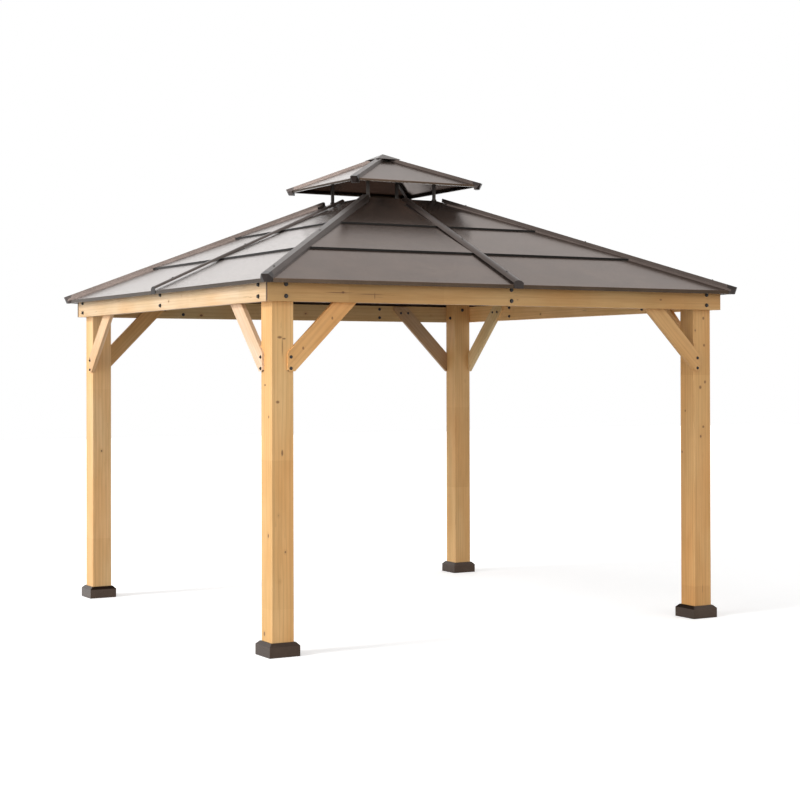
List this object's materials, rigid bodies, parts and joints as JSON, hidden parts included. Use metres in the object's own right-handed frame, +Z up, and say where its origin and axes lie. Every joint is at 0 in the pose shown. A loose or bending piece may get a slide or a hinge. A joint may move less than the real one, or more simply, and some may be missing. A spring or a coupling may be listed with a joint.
{
  "type": "garden gazebo",
  "caption": "Square timber-post garden gazebo with a stepped sheet steel hip roof and a small vented upper roof.",
  "frame": {"origin": "on the ground at the centre of the plan, midway between the four posts", "axes": "+Z up; front side faces -Y, right side faces +X"},
  "size_m": [3.4672, 3.4672, 3.1502],
  "materials": {
    "timber": "satin",
    "plate_steel": "matte",
    "skirt_steel": "satin",
    "frame_steel": "satin",
    "roof_sheet": "satin",
    "trim_steel": "satin",
    "cap_steel": "satin"
  },
  "bodies": {
    "root": {"post_front_left": "timber", "post_front_right": "timber", "post_back_right": "timber", "post_back_left": "timber", "base_plate_front_left": "plate_steel", "base_plate_front_right": "plate_steel", "base_plate_back_right": "plate_steel", "base_plate_back_left": "plate_steel", "post_skirts": "skirt_steel", "beam_front": "timber", "beam_right": "timber", "beam_back": "timber", "beam_left": "timber", "brace_front_left": "timber", "brace_front_right": "timber", "brace_right_front": "timber", "brace_right_back": "timber", "brace_back_right": "timber", "brace_back_left": "timber", "brace_left_back": "timber", "brace_left_front": "timber", "rafter_wedges": "timber", "hip_rafters": "frame_steel", "mid_rafters": "frame_steel", "roof_ring": "frame_steel", "roof_front_course_1": "roof_sheet", "roof_front_course_2": "roof_sheet", "roof_front_course_3": "roof_sheet", "roof_right_course_1": "roof_sheet", "roof_right_course_2": "roof_sheet", "roof_right_course_3": "roof_sheet", "roof_back_course_1": "roof_sheet", "roof_back_course_2": "roof_sheet", "roof_back_course_3": "roof_sheet", "roof_left_course_1": "roof_sheet", "roof_left_course_2": "roof_sheet", "roof_left_course_3": "roof_sheet", "eave_trims": "trim_steel", "hip_caps": "cap_steel", "rib_caps": "cap_steel", "cupola_pillars": "frame_steel", "cupola_frame": "frame_steel", "cupola_trim": "trim_steel", "cupola_panels": "roof_sheet", "cupola_hip_caps": "cap_steel", "apex_cap": "cap_steel"}
  },
  "joints": []
}
